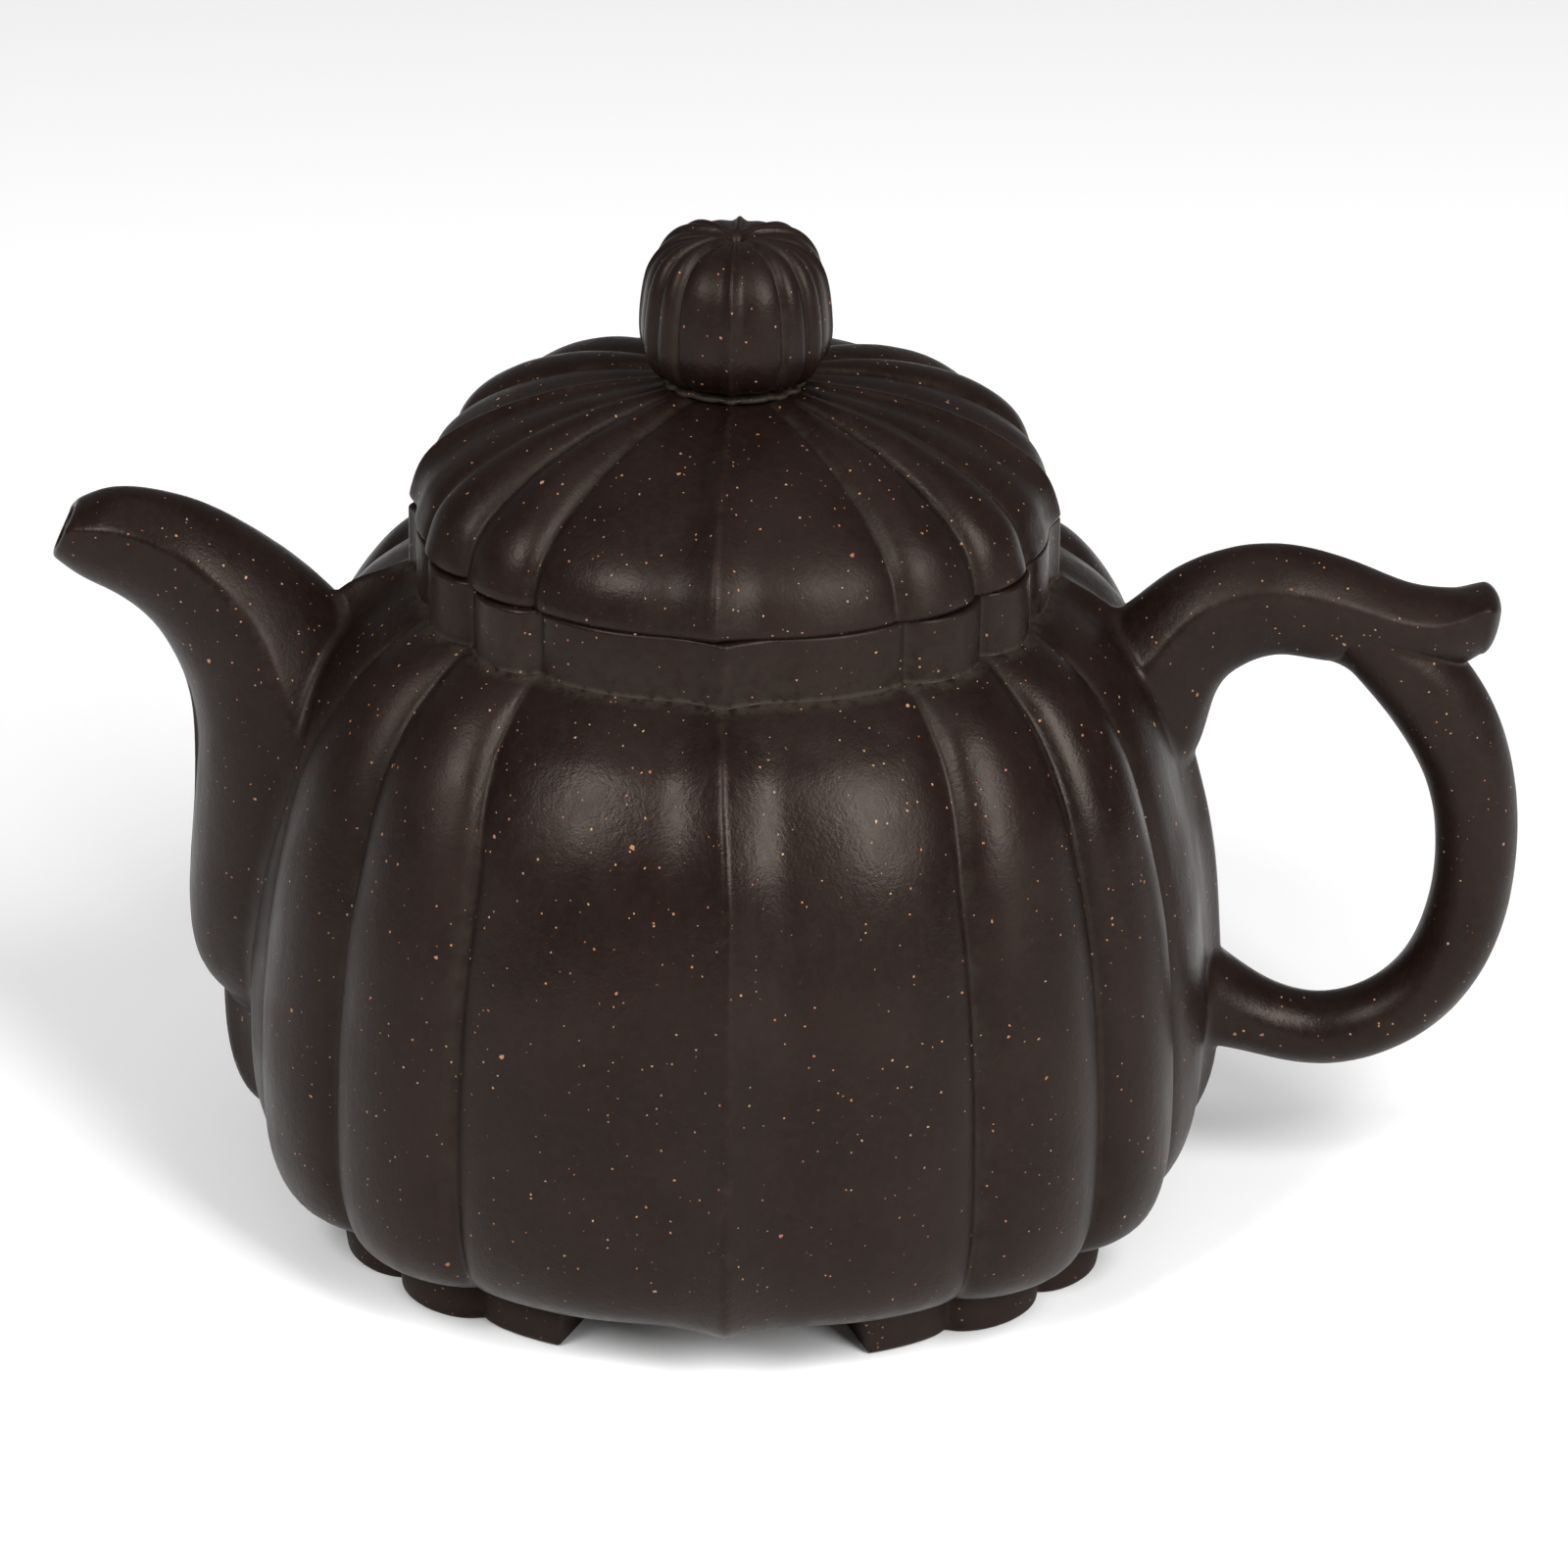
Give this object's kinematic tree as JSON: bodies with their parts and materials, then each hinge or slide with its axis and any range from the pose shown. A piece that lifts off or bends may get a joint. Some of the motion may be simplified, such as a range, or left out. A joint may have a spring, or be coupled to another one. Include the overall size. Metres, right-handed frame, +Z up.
{
  "type": "clay teapot",
  "caption": "Petal-lobed clay teapot on short feet, with a lift-off lid, a curved spout with a strainer, and a loop handle with a thumb strap.",
  "frame": {"origin": "on the table, under the middle of the round body, in the plane of the feet", "axes": "+Z up; +X towards the handle, -X towards the spout; -Y is the front"},
  "size_m": [0.1744, 0.1204, 0.1226],
  "materials": {
    "burnished_clay": "unglazed stoneware, burnished to a soft satin, dark brown with fine tan grains",
    "raw_clay": "unglazed stoneware, unburnished and matt, dark brown with fine tan grains"
  },
  "bodies": {
    "pot": {"base_plate": "raw_clay", "body_wall": "burnished_clay", "shoulder": "burnished_clay", "neck_collar": "burnished_clay", "foot_front_left": "raw_clay", "foot_front_right": "raw_clay", "foot_back_left": "raw_clay", "foot_back_right": "raw_clay", "spout": "burnished_clay", "spout_strainer": "raw_clay", "handle_strap": "burnished_clay", "handle_loop": "burnished_clay"},
    "lid": {"lid_plate": "burnished_clay", "lid_dome": "burnished_clay", "lid_flange": "raw_clay", "knob_collar": "burnished_clay", "knob": "burnished_clay"}
  },
  "joints": [
    {"name": "lid_lift", "type": "slide", "parent": "pot", "child": "lid", "axis": [0, 0, 1], "range_m": [0, 0.045]}
  ]
}
